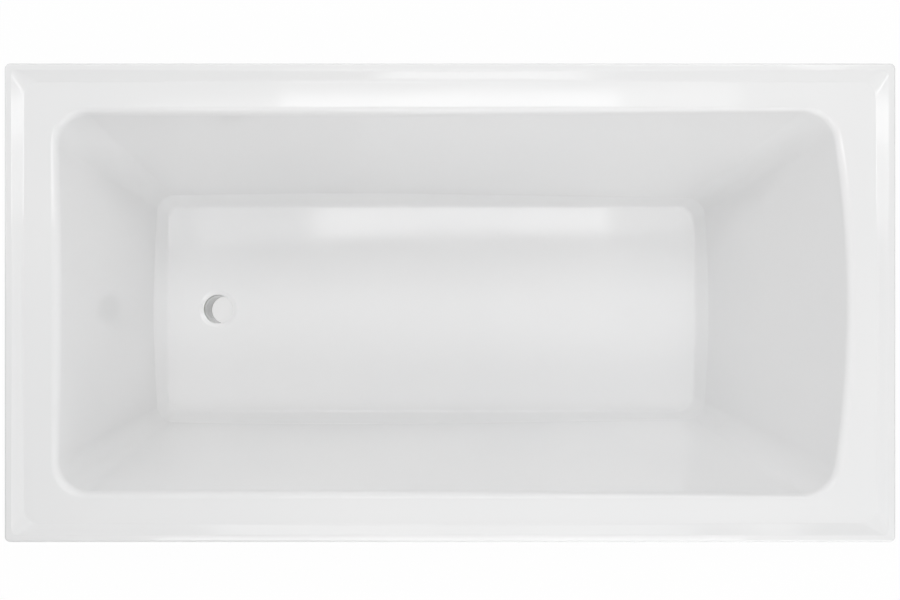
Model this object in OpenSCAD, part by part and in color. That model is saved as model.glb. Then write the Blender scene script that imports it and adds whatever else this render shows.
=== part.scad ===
// Inset bathtub: a formed shell on a bonded board, with timber rim battens and a levelling leg set.
// Drain end at -X, head end at +X, back at +Y. The origin is on the ground below the centre.

/* [Rim] */
// Overall length, from drain end to head end
bath_l = 1525; // [1450:5:1700]
// Overall width, from front to back
bath_w = 820; // [760:5:900]
// Height from the ground to the top of the lip
bath_h = 495; // [440:1:560]
// Corner radius of the rim in plan
rim_corner_r = 10; // [8:1:16]
// Height of the raised lip above the deck
lip_h = 8; // [6:1:11]
// Width of the lip from its outer face to the top of its inner flank
lip_top_w = 12; // [10:1:18]
// Width of the lip's sloping inner flank in plan
flank_w = 20; // [19:1:26]
// Bend radius from the lip's top into the flank
flank_top_r = 8; // [6:0.5:9]
// Bend radius from the flank into the deck
flank_foot_r = 14; // [10:0.5:15]
// Radius of the rounded outer top edge
edge_r = 5; // [3:0.5:7]
// Corner radius where the flank leaves the lip's top
lip_corner_r = 10; // [8:1:18]
// Corner radius where the flank meets the deck
deck_corner_r = 28; // [18:1:34]
// Thickness of the formed sheet in the lip and the skirt
lip_t = 3.5; // [3:0.5:3.5]
// Height of the skirt that hangs from the lip
skirt_h = 34; // [30:1:54]

/* [Well] */
// Flat deck along the front and the back
deck_side_w = 40.5; // [34:0.5:60]
// Flat deck at the drain end
deck_drain_w = 44.5; // [34:0.5:60]
// Flat deck at the middle of the head end
deck_head_w = 33; // [27:0.5:60]
// Height of the floor above the ground at the waste, which leaves room for the legs
floor_h = 93; // [88:1:130]
// Rise of the floor from the waste to the head end
floor_fall = 9; // [4:1:14]
// Plan distance from the rolled edge to the flat floor, along the sides
side_run = 127.5; // [100:0.5:150]
// Plan distance from the rolled edge to the flat floor, at the drain end
drain_run = 102; // [90:0.5:150]
// Plan distance from the rolled edge to the flat floor, at the head end
head_run = 192.5; // [150:0.5:260]
// Radius of the bow of the head end's rolled edge
head_bow_r = 1750; // [1500:10:4000]
// Radius of the bow of the floor's head end
floor_bow_r = 5000; // [3000:100:9000]
// Corner radius of the rolled edge in plan
well_corner_r = 60; // [45:1:90]
// Corner radius of the flat floor at the drain end
floor_drain_corner_r = 25; // [15:1:45]
// Corner radius of the flat floor at the head end
floor_head_corner_r = 35; // [20:1:55]
// Radius of the roll from the deck into the walls
roll_r = 16; // [12:1:20]
// Width of the flat cove between the walls and the floor
cove_w = 26; // [20:1:34]
// Slope of the cove, in degrees
cove_slope = 45; // [38:1:50]
// Bend radius at the top and the foot of the cove
cove_r = 10; // [6:1:16]
// Thickness of the shell in the deck and the well, with its backing laminate
shell_t = 8; // [6:0.5:9]

/* [Waste] */
// Distance from the floor's drain edge to the centre of the waste
waste_in = 100; // [85:1:140]
// Radius of the waste hole in the floor
waste_r = 30; // [26:0.5:34]
// Radius of the shallow dish around the waste hole
dish_r = 39; // [36:0.5:44]
// Depth of the dish at the waste hole
dish_d = 2; // [1:0.25:3]
// Radius of the outlet's bore
outlet_bore_r = 29; // [24:0.5:29]
// Wall of the outlet's tube
outlet_wall = 4; // [3:0.5:5]
// Depth from the floor of the well to the lower end of the outlet
outlet_drop = 75; // [60:1:78]
// Radius of the outlet's seat under the shell
outlet_seat_r = 38; // [36:0.5:40]
// Thickness of that seat
outlet_seat_t = 4; // [3:0.5:6]
// Radius of the outlet's flange under the board
flange_r = 62; // [60:1:70]
// Thickness of that flange
flange_t = 6; // [4:0.5:8]
// Radius of the circle of flange screws
flange_screw_r = 51; // [49:0.5:54]
// Thickness of the ring gasket under the shell
gasket_t = 3; // [2:0.5:4]

/* [Base board] */
// Thickness of the board under the floor
board_t = 18; // [12:1:22]
// Distance of the board's edges inside the flat floor
board_in = 8; // [4:1:20]
// Corner radius of the board
board_corner_r = 30; // [20:1:45]
// Room between the board's cut-out and the outlet's seat
cutout_room = 2; // [1:0.5:4]

/* [Rim battens] */
// Width of the battens under the deck
batten_w = 50; // [40:1:54]
// Thickness of the battens
batten_t = 18; // [14:1:20]

/* [Leg rails] */
// Width of the channel rails
rail_w = 40; // [36:1:50]
// Height of the channel's flanges
rail_h = 25; // [20:1:28]
// Thickness of the channel's steel
rail_t = 2; // [1.5:0.5:3]
// Outer radius of the channel's bends
rail_bend_r = 4; // [3:0.5:6]
// Length of the rails across the bath
rail_l = 600; // [560:5:680]
// Distance from the waste to the middle of the drain rail
drain_rail_out = 144; // [120:2:220]
// Distance from the floor's head end to the middle of the head rail
head_rail_in = 175; // [120:5:260]
// Distance from a rail's end to its leg
leg_in = 25; // [22:1:40]
// Length of the sloping cut at the ends of the flanges
rail_end_cut = 16; // [10:1:20]
// Length of the adjusting slots in the rails
slot_l = 40; // [20:1:60]
// Distance of the slots from the middle of the rail
slot_y = 60; // [45:1:90]
// Distance of the outer board screws from the middle of the rail
rail_screw_y = 160; // [130:1:180]

/* [Levelling legs] */
// Diameter of the threaded studs
stud_d = 12; // [10:1:14]
// Travel of a leg from its middle setting, up and down
leg_travel = 15; // [8:1:15]
// Length of stud still above the higher nuts at the end of that travel
stud_proud = 1; // [0.5:0.5:10]
// Radius of the foot pads
pad_r = 28; // [22:1:34]
// Thickness of the foot pads at their rim
pad_t = 6; // [4:0.5:8]
// Height of the foot pads' hubs
pad_hub_h = 26; // [24:1:26]
// Radius of the foot pads' hubs
pad_hub_r = 11; // [9.5:0.5:12]
// Distance of the ribs from the pad's edge and from the hub's top
pad_rib_in = 3; // [2:0.5:5]
// Number of stiffening ribs on a foot pad
pad_ribs = 6; // [4:1:8]
// Thickness of those ribs
pad_rib_t = 2.5; // [2:0.5:3]
// Depth of the socket for the stud's spigot
socket_d = 14; // [10:1:16]
// Diameter of the stud's spigot
spigot_d = 9.9; // [8:0.1:9.9]
// Width of the lock nuts across their flats
nut_af = 18; // [17:0.5:21]
// Thickness of the lock nuts
nut_t = 7; // [6:0.5:8]
// Diameter of the plain washers
washer_d = 24; // [20:0.5:28]
// Thickness of the plain washers
washer_t = 2.5; // [1.5:0.5:3]

/* [Wall brackets] */
// Distance of the brackets from the centre
bracket_x = 430; // [300:5:560]
// Width of the brackets
bracket_w = 32; // [26:1:40]
// Depth of the leg under the batten
bracket_under = 44; // [36:1:48]
// Drop of the leg against the wall
bracket_drop = 42; // [34:1:60]
// Thickness of the brackets
bracket_t = 2.5; // [2:0.5:3]
// Distance of the bracket's wood screws from the wall
bracket_screw_in = 26; // [20:1:34]
// Radius of the wall screw's hole
bracket_hole_r = 3; // [2.5:0.25:4]
// Distance of that hole below the batten
bracket_hole_drop = 26; // [18:1:28]

/* [Fixings] */
// Diameter of the wood screws' shanks
screw_d = 4.4; // [3.6:0.2:5]
// Length of the wood screws' shanks, with their points
screw_l = 16; // [12:1:18]
// Diameter of the wood screws' heads
screw_head_d = 9; // [8:0.5:10]
// Height of the wood screws' heads
screw_head_t = 3; // [2:0.5:3.5]

/* [Clearances] */
// Glue line between the shell and the board
glue_gap = 0.2; // [0.1:0.1:0.4]
// Seating gap under the sloping board
seat_gap = 0.1; // [0.05:0.05:0.3]
// Side gap of a piece that is dropped into the rim
rim_gap = 0.3; // [0.2:0.1:0.5]
// Radial clearance of a stud in its nuts and of a spigot in its socket
run_gap = 0.05; // [0.03:0.01:0.08]
// Radial clearance of a screw or a stud in a plain hole
hole_gap = 0.5; // [0.3:0.1:0.8]
// End gap between a stud and its pad
end_gap = 0.3; // [0.2:0.1:0.5]

/* [Hidden] */
$fn = 48;

// Segments in each plan corner, along the head end, and in the bends of the shell's section
corner_n = 8;
bow_n = 8;
cove_n = 3;
roll_n = 5;
flank_n = 3;
edge_n = 3;
// Segments in the bends of the rails
rail_bend_n = 5;

lip_w = lip_top_w + flank_w;
deck_z = bath_h - lip_h;
skirt_z = bath_h - skirt_h;
deck_under_z = deck_z - shell_t;

// The rolled edge and the flat floor: drain end, head end and half width
edge_x0 = -bath_l / 2 + lip_w + deck_drain_w;
edge_x1 = bath_l / 2 - lip_w - deck_head_w;
edge_y = bath_w / 2 - lip_w - deck_side_w;
floor_x0 = edge_x0 + drain_run;
floor_x1 = edge_x1 - head_run;
floor_y = edge_y - side_run;

// The floor falls in one plane from the head end to the waste
waste_x = floor_x0 + waste_in;
waste_z = floor_h;
floor_slope = floor_fall / (floor_x1 - waste_x);
fall_angle = atan(floor_slope);
function floor_z(x) = waste_z + floor_slope * (x - waste_x);

board_x0 = floor_x0 + board_in;
board_x1 = floor_x1 - board_in;
board_y = floor_y - board_in;
board_drop = shell_t + glue_gap;
board_under_drop = board_drop + board_t / cos(fall_angle) + seat_gap;
cutout_r = outlet_seat_r + cutout_room;

// Each rail's top lies level against the lowest line of the board above it
drain_rail_x = waste_x + drain_rail_out;
head_rail_x = floor_x1 - head_rail_in;
drain_rail_z = floor_z(drain_rail_x - rail_w / 2) - board_under_drop;
head_rail_z = floor_z(head_rail_x - rail_w / 2) - board_under_drop;
leg_y = rail_l / 2 - leg_in;

stud_foot_z = pad_hub_h + end_gap;
stud_top_z = max(drain_rail_z, head_rail_z) + washer_t + nut_t + leg_travel + stud_proud;

outlet_z = waste_z - outlet_drop;
flange_under_z = floor_z(waste_x - flange_r) - board_under_drop - flange_t;

// Plan outlines

// Points along an arc, both ends included
function arc(cx, cy, r, a0, a1, n) =
  [for (i = [0:n]) let (a = a0 + (a1 - a0) * i / n) [cx + r * cos(a), cy + r * sin(a)]];

// How far a bow of radius r has fallen back at the distance y from its crown; 0 stands for straight
function bow_drop(r, y) = r == 0 ? 0 : r - sqrt(r * r - y * y);

// Anticlockwise outline of a tub in plan, from x0 to x1 and as wide as y each way.
// Its corner radii are r0 at x0 and r1 at x1, and its end at x1 is bowed with the radius bow.
function outline(x0, x1, y, r0, r1, bow = 0) =
  let (
    turn = bow == 0 ? 0 : asin((y - r1) / (bow - r1)),
    cx = bow == 0 ? x1 - r1 : x1 - bow + (bow - r1) * cos(turn),
    end_y = bow == 0 ? y - r1 : bow * sin(turn)
  )
  concat(
    arc(x0 + r0, -y + r0, r0, 180, 270, corner_n),
    arc(cx, -y + r1, r1, 270, 360 - turn, corner_n),
    [for (i = [1:bow_n - 1]) let (v = end_y * (2 * i / bow_n - 1)) [x1 - bow_drop(bow, v), v]],
    arc(cx, y - r1, r1, turn, 90, corner_n),
    arc(x0 + r0, y - r0, r0, 90, 180, corner_n)
  );

// Outline of the rim, drawn in by a distance, with the corner radius r
function rim_outline(inset, r) =
  outline(-bath_l / 2 + inset, bath_l / 2 - inset, bath_w / 2 - inset, r, r);

edge_plan = outline(edge_x0, edge_x1, edge_y, well_corner_r, well_corner_r, head_bow_r);
floor_plan = outline(floor_x0, floor_x1, floor_y, floor_drain_corner_r, floor_head_corner_r,
  floor_bow_r);
flank_top_plan = rim_outline(lip_top_w, lip_corner_r);
flank_foot_plan = rim_outline(lip_w, deck_corner_r);
flank_under_plan = rim_outline(lip_w + shell_t - lip_t, deck_corner_r);
ring_size = len(edge_plan);

// Section of the shell

// How far a bend of radius 1 has gone out and down after turning by the angle a
function turned(a) = [sin(a), 1 - cos(a)];

// Slope of the straight part between a convex and a concave bend, whose radii add up to bends
function bend_slope(run, drop, bends) =
  atan2(drop - bends, run) + asin(bends / norm([run, drop - bends]));

// Section of a wall that falls by drop over run, as points that go out and down from its top.
// It turns down over the radius r1 in n1 steps and levels out over the radius r2 in n2 steps.
// A cove of the width flat lies between two such lower bends, and a flat of 0 leaves one bend.
function wall_section(run, drop, r1, r2, n1, n2, flat) =
  let (
    foot = [run, drop],
    cove = flat * [cos(cove_slope), sin(cove_slope)],
    slope = bend_slope(run - cove.x, drop - cove.y, r1 + r2),
    last = flat == 0 ? slope : cove_slope
  )
  concat(
    [for (k = [0:n1]) r1 * turned(slope * k / n1)],
    flat == 0 ? [] : [for (k = [0:n2]) foot - cove - r2 * turned(slope + (last - slope) * k / n2)],
    [for (k = [n2:-1:0]) foot - r2 * turned(last * k / n2)]
  );

// Rings of such a wall from the outline p at height zp down to the outline q at heights zq
function wall_rings(p, q, zp, zq, r1, r2, n1, n2, flat = 0) =
  let (
    runs = [for (i = [0:len(p) - 1]) norm(q[i] - p[i])],
    ways = [for (i = [0:len(p) - 1]) (q[i] - p[i]) / runs[i]],
    walls = [for (i = [0:len(p) - 1]) wall_section(runs[i], zp - zq[i], r1, r2, n1, n2, flat)]
  )
  [for (k = [0:len(walls[0]) - 1])
    [for (i = [0:len(p) - 1]) let (place = p[i] + ways[i] * walls[i][k].x)
      [place.x, place.y, zp - walls[i][k].y]]];

function level(plan, z) = [for (p = plan) [p.x, p.y, z]];
function same_z(plan, z) = [for (p = plan) z];
function floor_levels(drop) = [for (p = floor_plan) floor_z(p.x) - drop];
function backwards(list) = [for (i = [len(list) - 1:-1:0]) list[i]];

// The face seen from above, from the flat floor out to the lower edge of the skirt
upper_rings = concat(
  backwards(wall_rings(edge_plan, floor_plan, deck_z, floor_levels(0), roll_r, cove_r,
    roll_n, cove_n, cove_w)),
  backwards(wall_rings(flank_top_plan, flank_foot_plan, bath_h, same_z(edge_plan, deck_z),
    flank_top_r, flank_foot_r, flank_n, flank_n)),
  [for (k = [edge_n:-1:0]) let (a = 90 * k / edge_n, inset = edge_r * (1 - cos(a)))
    level(rim_outline(inset, rim_corner_r - inset), bath_h - edge_r + edge_r * sin(a))],
  [level(rim_outline(0, rim_corner_r), skirt_z)]
);

// The face seen from below, from the lower edge of the skirt in to the floor
lower_rings = concat(
  [for (z = [skirt_z, bath_h - lip_t]) level(rim_outline(lip_t, rim_corner_r - lip_t), z)],
  wall_rings(flank_top_plan, flank_under_plan, bath_h - lip_t, same_z(edge_plan, deck_under_z),
    flank_top_r - lip_t, flank_foot_r + lip_t, flank_n, flank_n),
  wall_rings(edge_plan, floor_plan, deck_under_z, floor_levels(shell_t), roll_r - shell_t,
    cove_r + shell_t, roll_n, cove_n, cove_w)
);

// Flat triangles between two rings that start at the points a and b
function band(a, b) = [for (i = [0:ring_size - 1]) let (j = (i + 1) % ring_size)
  each [[a + i, b + j, a + j], [a + i, b + i, b + j]]];

module ring_solid(rings) {
  count = len(rings);
  last = (count - 1) * ring_size;
  polyhedron(
    points = [for (ring = rings) each ring],
    faces = concat(
      [[for (i = [ring_size - 1:-1:0]) i]],
      [for (k = [0:count - 2]) each band(k * ring_size, (k + 1) * ring_size)],
      [[for (i = [0:ring_size - 1]) last + i]]
    ),
    convexity = 8
  );
}

// Block above a plane that lies parallel to the floor, at a drop below it
module above_floor_plane(drop) {
  size = 4 * flange_r;
  translate([waste_x, 0, waste_z - drop])
    rotate([0, -fall_angle, 0])
      translate([-size / 2, -size / 2, 0])
        cube([size, size, size]);
}

module at_waste(z) {
  translate([waste_x, 0, z])
    children();
}

// Four places on a circle, off the axes
module four_around(r) {
  for (a = [45:90:315])
    rotate(a)
      translate([r, 0, 0])
        children();
}

// Formed shell and its outlet

module bath_shell() {
  color([0.96, 0.96, 0.95])
    difference() {
      ring_solid(concat(upper_rings, lower_rings));
      // The hole and its shallow dish, square to the sloping floor
      at_waste(waste_z)
        rotate([0, -fall_angle, 0])
          rotate_extrude()
            polygon([
              [0, -2 * shell_t], [waste_r, -2 * shell_t], [waste_r, -dish_d],
              [2 * dish_r - waste_r, dish_d], [0, dish_d]
            ]);
    }
}

module outlet_collar() {
  color([0.62, 0.64, 0.66])
    difference() {
      union() {
        at_waste(outlet_z)
          cylinder(r = outlet_bore_r + outlet_wall, h = outlet_drop);
        difference() {
          at_waste(waste_z - shell_t - gasket_t - outlet_seat_t)
            cylinder(r = outlet_seat_r, h = 2 * outlet_seat_t);
          above_floor_plane(shell_t + gasket_t);
        }
        difference() {
          at_waste(flange_under_z)
            cylinder(r = flange_r, h = 2 * flange_t);
          above_floor_plane(board_under_drop);
        }
      }
      above_floor_plane(shell_t + gasket_t);
      at_waste(outlet_z - outlet_wall)
        cylinder(r = outlet_bore_r, h = outlet_drop + 2 * outlet_wall);
      at_waste(flange_under_z - flange_t)
        four_around(flange_screw_r)
          cylinder(d = screw_d + 2 * hole_gap, h = 4 * flange_t);
    }
}

module outlet_gasket() {
  color([0.1, 0.1, 0.11])
    at_waste(waste_z - shell_t - gasket_t)
      rotate([0, -fall_angle, 0])
        difference() {
          cylinder(r = outlet_seat_r - 1, h = gasket_t - seat_gap);
          translate([0, 0, -gasket_t])
            cylinder(r = waste_r + 1, h = 3 * gasket_t);
        }
}

module wood_screw() {
  point = screw_d;
  translate([0, 0, -screw_head_t])
    cylinder(d1 = screw_head_d - 2, d2 = screw_head_d, h = screw_head_t / 2);
  translate([0, 0, -screw_head_t / 2])
    cylinder(d = screw_head_d, h = screw_head_t / 2);
  cylinder(d = screw_d, h = screw_l - point);
  translate([0, 0, screw_l - point])
    cylinder(d1 = screw_d, d2 = screw_d / 4, h = point);
}

// Hole that a wood screw is driven into
module pilot() {
  translate([0, 0, -screw_l])
    cylinder(d = screw_d + 2 * run_gap, h = 2 * screw_l + end_gap);
}

module outlet_screws() {
  color("silver")
    at_waste(flange_under_z)
      four_around(flange_screw_r)
        wood_screw();
}

// Board and battens

module rounded_plan(x0, x1, y, r) {
  translate([x0, -y + r])
    square([x1 - x0, 2 * (y - r)]);
  translate([x0 + r, -y])
    square([x1 - x0 - 2 * r, 2 * y]);
  for (x = [x0 + r, x1 - r], v = [-y + r, y - r])
    translate([x, v])
      circle(r = r);
}

module at_rail_screws() {
  for (y = [-1, 1] * rail_screw_y)
    translate([0, y, 0])
      children();
  for (y = [-1, 1] * slot_y)
    translate([0, y, 0])
      children();
}

module base_board() {
  color([0.78, 0.66, 0.48])
    difference() {
      translate([waste_x, 0, waste_z - board_drop])
        rotate([0, -fall_angle, 0])
          translate([-waste_x, 0, -board_t])
            linear_extrude(board_t)
              rounded_plan(board_x0, board_x1, board_y, board_corner_r);
      at_waste(waste_z - 3 * board_t)
        cylinder(r = cutout_r, h = 4 * board_t);
      at_waste(flange_under_z)
        four_around(flange_screw_r)
          pilot();
      translate([drain_rail_x, 0, drain_rail_z - rail_t])
        at_rail_screws()
          pilot();
      translate([head_rail_x, 0, head_rail_z - rail_t])
        at_rail_screws()
          pilot();
    }
}

batten_inset = lip_t + rim_gap;
batten_z = deck_under_z - batten_t;

// A long batten, whose outer corners are cut off to clear the rounded rim
module side_batten() {
  half = bath_l / 2 - batten_inset;
  outer = bath_w / 2 - batten_inset;
  cut = rim_corner_r / 2;
  translate([0, 0, batten_z])
    linear_extrude(batten_t)
      polygon([
        [-half, outer - batten_w], [half, outer - batten_w], [half, outer - cut],
        [half - cut, outer], [cut - half, outer], [-half, outer - cut]
      ]);
}

module end_batten() {
  half = bath_w / 2 - batten_inset - batten_w;
  translate([bath_l / 2 - batten_inset - batten_w, -half, batten_z])
    cube([batten_w, 2 * half, batten_t]);
}

module at_brackets() {
  for (x = [-1, 1] * bracket_x)
    translate([x, 0, 0])
      children();
}

// Places of the two screws of a bracket, under a batten
module at_bracket_screws() {
  for (x = [-1, 1] * bracket_w / 4)
    translate([x, bath_w / 2 - bracket_screw_in, batten_z])
      children();
}

module front_batten() {
  color([0.85, 0.72, 0.5])
    mirror([0, 1, 0])
      side_batten();
}

module back_batten() {
  color([0.85, 0.72, 0.5])
    difference() {
      side_batten();
      at_brackets()
        at_bracket_screws()
          translate([0, 0, -bracket_t])
            pilot();
    }
}

module drain_end_batten() {
  color([0.85, 0.72, 0.5])
    mirror([1, 0, 0])
      end_batten();
}

module head_end_batten() {
  color([0.85, 0.72, 0.5])
    end_batten();
}

// Leg rails

// Section of the channel, open downwards, with its top at 0
module channel_section() {
  half = rail_w / 2;
  inner = rail_bend_r - rail_t;
  polygon(concat(
    [[-half, -rail_h]],
    arc(-half + rail_bend_r, -rail_bend_r, rail_bend_r, 180, 90, rail_bend_n),
    arc(half - rail_bend_r, -rail_bend_r, rail_bend_r, 90, 0, rail_bend_n),
    [[half, -rail_h], [half - rail_t, -rail_h]],
    arc(half - rail_bend_r, -rail_bend_r, inner, 0, 90, rail_bend_n),
    arc(-half + rail_bend_r, -rail_bend_r, inner, 90, 180, rail_bend_n),
    [[-half + rail_t, -rail_h]]
  ));
}

module slot_cut() {
  r = screw_d / 2 + hole_gap;
  run = slot_l / 2 - r;
  for (y = [-run, run])
    translate([0, y, -2 * rail_t])
      cylinder(r = r, h = 4 * rail_t);
  translate([-r, -run, -2 * rail_t])
    cube([2 * r, 2 * run, 4 * rail_t]);
}

// Wedge that cuts an end of the flanges back to a slope below the web
module end_cut() {
  end = rail_l / 2;
  translate([-rail_w, 0, 0])
    rotate([90, 0, 90])
      linear_extrude(2 * rail_w)
        polygon([
          [end - rail_end_cut, -rail_h], [end - rail_end_cut, -rail_h - rail_t],
          [end + rail_t, -rail_h - rail_t], [end + rail_t, -rail_bend_r], [end, -rail_bend_r]
        ]);
}

module leg_rail(x, z) {
  translate([x, 0, z])
    difference() {
      rotate([90, 0, 0])
        linear_extrude(rail_l, center = true)
          channel_section();
      end_cut();
      mirror([0, 1, 0])
        end_cut();
      for (y = [-leg_y, leg_y])
        translate([0, y, -2 * rail_t])
          cylinder(d = stud_d + 2 * hole_gap, h = 4 * rail_t);
      for (y = [-rail_screw_y, rail_screw_y])
        translate([0, y, -2 * rail_t])
          cylinder(d = screw_d + 2 * hole_gap, h = 4 * rail_t);
      for (y = [-slot_y, slot_y])
        translate([0, y, 0])
          slot_cut();
    }
}

module drain_leg_rail() {
  color([0.7, 0.72, 0.74])
    leg_rail(drain_rail_x, drain_rail_z);
}

module head_leg_rail() {
  color([0.7, 0.72, 0.74])
    leg_rail(head_rail_x, head_rail_z);
}

module drain_rail_screws() {
  color("silver")
    translate([drain_rail_x, 0, drain_rail_z - rail_t])
      at_rail_screws()
        wood_screw();
}

module head_rail_screws() {
  color("silver")
    translate([head_rail_x, 0, head_rail_z - rail_t])
      at_rail_screws()
        wood_screw();
}

// Levelling legs

// Each leg's rail top and place
LEGS = [
  [drain_rail_x, -leg_y, drain_rail_z], [drain_rail_x, leg_y, drain_rail_z],
  [head_rail_x, -leg_y, head_rail_z], [head_rail_x, leg_y, head_rail_z]
];

module lock_nut() {
  corner = nut_af / 2 / cos(30);
  bevel = corner - nut_af / 2;
  difference() {
    intersection() {
      cylinder(r = corner, h = nut_t, $fn = 6);
      rotate_extrude()
        polygon([
          [0, 0], [nut_af / 2, 0], [corner, bevel / 2], [corner, nut_t - bevel / 2],
          [nut_af / 2, nut_t], [0, nut_t]
        ]);
    }
    translate([0, 0, -nut_t])
      cylinder(d = stud_d + 2 * run_gap, h = 3 * nut_t);
  }
}

module upper_lock_nuts() {
  color([0.75, 0.76, 0.78])
    for (leg = LEGS)
      translate(leg + [0, 0, washer_t])
        lock_nut();
}

module lower_lock_nuts() {
  color([0.75, 0.76, 0.78])
    for (leg = LEGS)
      translate(leg - [0, 0, rail_t + washer_t + nut_t])
        lock_nut();
}

module leg_washers() {
  color([0.8, 0.81, 0.82])
    for (leg = LEGS, z = [0, -rail_t - washer_t])
      translate(leg + [0, 0, z])
        difference() {
          cylinder(d = washer_d, h = washer_t);
          translate([0, 0, -washer_t])
            cylinder(d = stud_d + 2 * hole_gap, h = 3 * washer_t);
        }
}

// Stud with a bevelled top and a plain spigot that turns in the foot
module leg_stud(leg) {
  bevel = stud_d / 12;
  color([0.72, 0.73, 0.75])
    translate([leg.x, leg.y, stud_foot_z]) {
      cylinder(d = stud_d, h = stud_top_z - stud_foot_z - bevel);
      translate([0, 0, stud_top_z - stud_foot_z - bevel])
        cylinder(d1 = stud_d, d2 = stud_d - 2 * bevel, h = bevel);
      translate([0, 0, -socket_d])
        cylinder(d = spigot_d, h = socket_d + bevel);
    }
}

// Rib from the hub down to the disc, rooted inside both
module foot_rib() {
  reach = pad_r - pad_rib_in;
  root = pad_hub_r - pad_rib_in;
  top = pad_hub_h - pad_rib_in;
  rotate([90, 0, 0])
    linear_extrude(pad_rib_t, center = true)
      polygon([[root, pad_t / 2], [reach, pad_t / 2], [reach, pad_t], [pad_hub_r, top], [root, top]]);
}

// Moulded foot: a disc with a rounded rim, a hub, ribs and a blind socket
module levelling_foot(leg) {
  round_r = pad_t / 2;
  color([0.16, 0.16, 0.17])
    translate([leg.x, leg.y, 0])
      difference() {
        union() {
          rotate_extrude()
            polygon(concat(
              [[0, 0], [pad_r - round_r, 0]],
              arc(pad_r - round_r, round_r, round_r, -60, 90, 5),
              arc(pad_hub_r + round_r, pad_t + round_r, round_r, 270, 180, 4),
              arc(pad_hub_r - round_r / 2, pad_hub_h - round_r / 2, round_r / 2, 0, 90, 3),
              [[0, pad_hub_h]]
            ));
          for (a = [0:360 / pad_ribs:359])
            rotate(a)
              foot_rib();
        }
        translate([0, 0, pad_hub_h - socket_d])
          cylinder(d = spigot_d + 2 * run_gap, h = 2 * socket_d);
      }
}

module front_drain_stud() { leg_stud(LEGS[0]); }
module back_drain_stud() { leg_stud(LEGS[1]); }
module front_head_stud() { leg_stud(LEGS[2]); }
module back_head_stud() { leg_stud(LEGS[3]); }
module front_drain_foot() { levelling_foot(LEGS[0]); }
module back_drain_foot() { levelling_foot(LEGS[1]); }
module front_head_foot() { levelling_foot(LEGS[2]); }
module back_head_foot() { levelling_foot(LEGS[3]); }

// Wall brackets

// Angle bracket: one leg under the back batten, the other against the wall
module wall_bracket(x) {
  back = bath_w / 2;
  color([0.74, 0.76, 0.78])
    difference() {
      translate([x, 0, batten_z])
        rotate([90, 0, 90])
          linear_extrude(bracket_w, center = true)
            polygon([
              [back, 0], [back - bracket_under, 0], [back - bracket_under, -bracket_t],
              [back - bracket_t, -bracket_t], [back - bracket_t, -bracket_drop], [back, -bracket_drop]
            ]);
      at_brackets()
        at_bracket_screws()
          translate([0, 0, -2 * bracket_t])
            cylinder(d = screw_d + 2 * hole_gap, h = 4 * bracket_t);
      translate([x, back, batten_z - bracket_hole_drop])
        rotate([90, 0, 0])
          cylinder(r = bracket_hole_r, h = 4 * bracket_t, center = true);
    }
}

module drain_wall_bracket() { wall_bracket(-bracket_x); }
module head_wall_bracket() { wall_bracket(bracket_x); }

module bracket_screws() {
  color("silver")
    at_brackets()
      at_bracket_screws()
        translate([0, 0, -bracket_t])
          wood_screw();
}

bath_shell();
base_board();
front_batten();
back_batten();
drain_end_batten();
head_end_batten();
outlet_collar();
outlet_gasket();
outlet_screws();
drain_leg_rail();
head_leg_rail();
drain_rail_screws();
head_rail_screws();
upper_lock_nuts();
lower_lock_nuts();
leg_washers();
front_drain_stud();
back_drain_stud();
front_head_stud();
back_head_stud();
front_drain_foot();
back_drain_foot();
front_head_foot();
back_head_foot();
drain_wall_bracket();
head_wall_bracket();
bracket_screws();
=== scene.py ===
import math

import bmesh
import bpy
from bpy.props import FloatProperty, FloatVectorProperty, IntProperty, PointerProperty
from bpy.types import Operator, Panel, PropertyGroup
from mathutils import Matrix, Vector


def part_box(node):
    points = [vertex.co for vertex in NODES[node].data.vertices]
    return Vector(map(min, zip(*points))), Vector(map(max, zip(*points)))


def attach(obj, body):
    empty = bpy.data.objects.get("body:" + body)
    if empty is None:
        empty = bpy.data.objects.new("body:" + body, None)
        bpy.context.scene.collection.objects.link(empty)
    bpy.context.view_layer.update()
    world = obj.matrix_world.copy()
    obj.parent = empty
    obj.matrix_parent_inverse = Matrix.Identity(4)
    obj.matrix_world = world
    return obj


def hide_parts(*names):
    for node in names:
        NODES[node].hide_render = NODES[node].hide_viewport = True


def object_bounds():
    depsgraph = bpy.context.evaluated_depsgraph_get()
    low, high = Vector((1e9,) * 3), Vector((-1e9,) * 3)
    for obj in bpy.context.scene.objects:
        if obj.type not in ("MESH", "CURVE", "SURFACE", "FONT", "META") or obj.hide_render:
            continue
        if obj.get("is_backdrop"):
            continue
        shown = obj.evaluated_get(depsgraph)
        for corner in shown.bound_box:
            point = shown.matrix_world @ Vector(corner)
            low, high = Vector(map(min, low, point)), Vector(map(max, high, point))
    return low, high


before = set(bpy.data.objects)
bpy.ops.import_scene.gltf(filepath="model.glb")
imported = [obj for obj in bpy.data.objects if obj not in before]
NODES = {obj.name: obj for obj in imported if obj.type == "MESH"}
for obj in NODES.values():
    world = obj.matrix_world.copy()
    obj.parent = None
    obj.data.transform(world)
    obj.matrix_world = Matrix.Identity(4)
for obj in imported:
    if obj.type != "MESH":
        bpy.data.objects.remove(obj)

bl_info = {
    "name": "Inset Bathtub Dressing",
    "version": (1, 0, 0),
    "blender": (4, 5, 0),
    "location": "3D View > Sidebar > Bathtub",
    "description": "Models the shell and the fittings of an inset bathtub, and gives them their finishes",
    "category": "Object",
}

LEGS = ("front_drain", "back_drain", "front_head", "back_head")
SHELL_LOW, SHELL_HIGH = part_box("bath_shell")

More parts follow.
